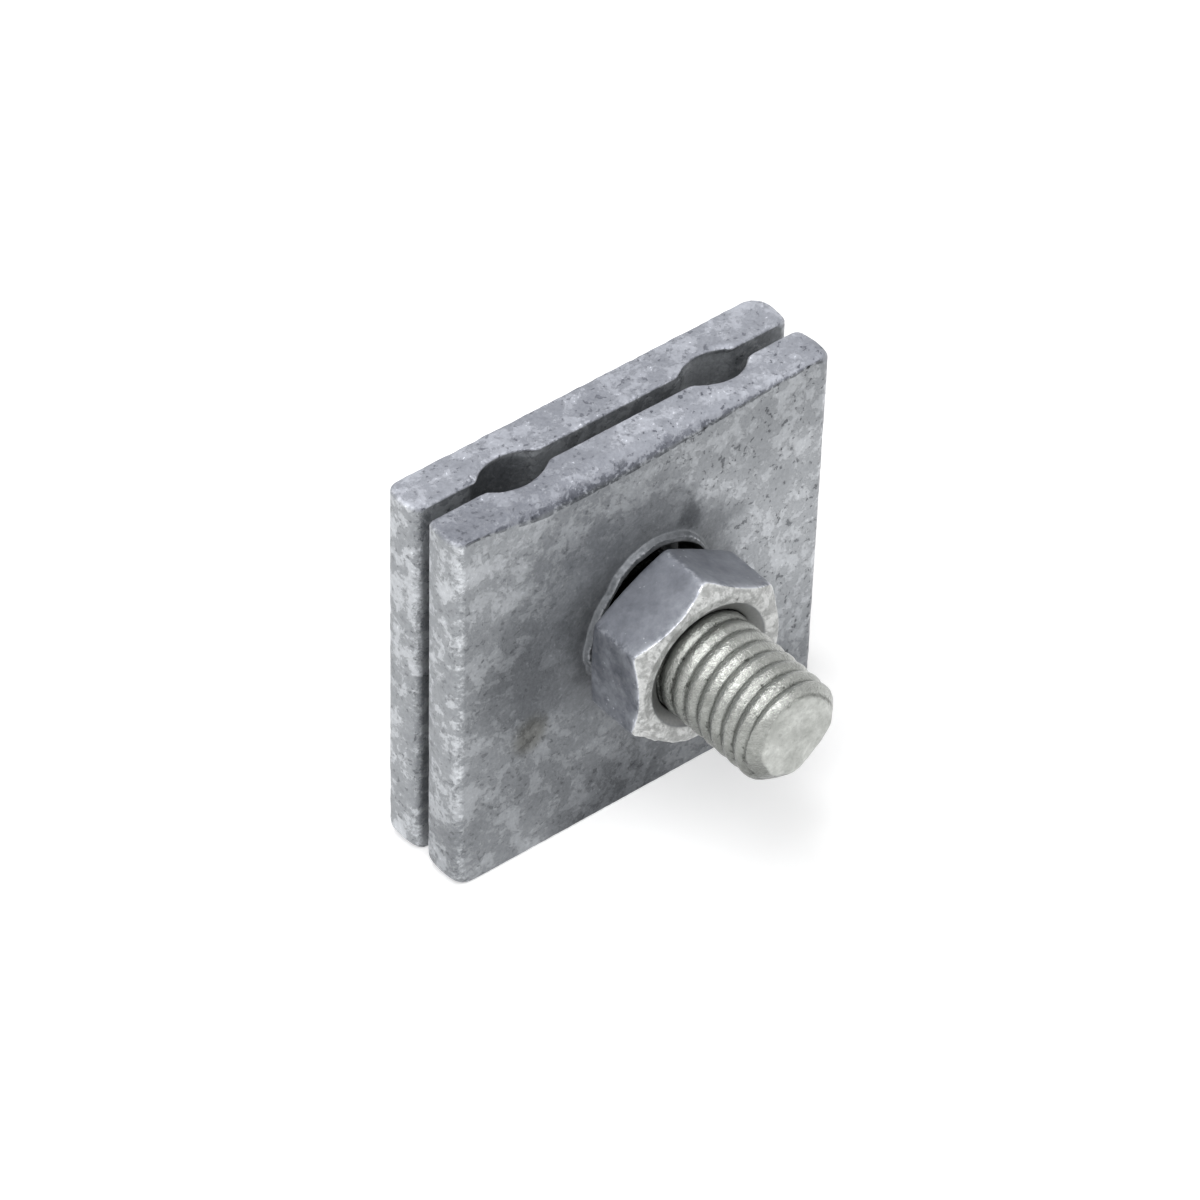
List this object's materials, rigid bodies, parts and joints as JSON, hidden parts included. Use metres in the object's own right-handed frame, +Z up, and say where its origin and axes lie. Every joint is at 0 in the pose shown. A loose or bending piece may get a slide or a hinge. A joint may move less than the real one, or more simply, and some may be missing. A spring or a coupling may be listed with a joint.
{
  "type": "sign post clamp",
  "caption": "Flat two-plate clamp: square galvanised plates with paired grooves that grip strand or rod, drawn together by a round-head bolt and a thin hex nut.",
  "frame": {"origin": "bottom centre of the clamp's box, on the surface that both plates stand on", "axes": "+Z up along both grooves, +X across the plates, -Y along the bolt towards its nut and tip"},
  "size_m": [0.0508, 0.043, 0.0492],
  "materials": {
    "galvanised_plate": "mottled hot-dip galvanised, matt",
    "galvanised_bolt": "bright galvanised thread, satin",
    "galvanised_nut": "smooth hot-dip galvanised, satin"
  },
  "bodies": {
    "back_jaw": {"back_plate": "galvanised_plate", "bolt": "galvanised_bolt"},
    "front_jaw": {"front_plate": "galvanised_plate"},
    "nut": {"nut": "galvanised_nut"}
  },
  "joints": [
    {"name": "jaw_slide", "type": "slide", "parent": "back_jaw", "child": "front_jaw", "axis": [0, -1, 0], "range_m": [-0.0018, 0.012]},
    {"name": "nut_turn", "type": "hinge", "parent": "front_jaw", "child": "nut", "pos_m": [0.0009, -0.003, 0.02535], "axis": [0, -1, 0], "range_deg": [-380, 2230]}
  ],
  "couplings": [
    {"joint": "nut_turn", "follows": "jaw_slide", "rad_per_m": 3215.8}
  ]
}
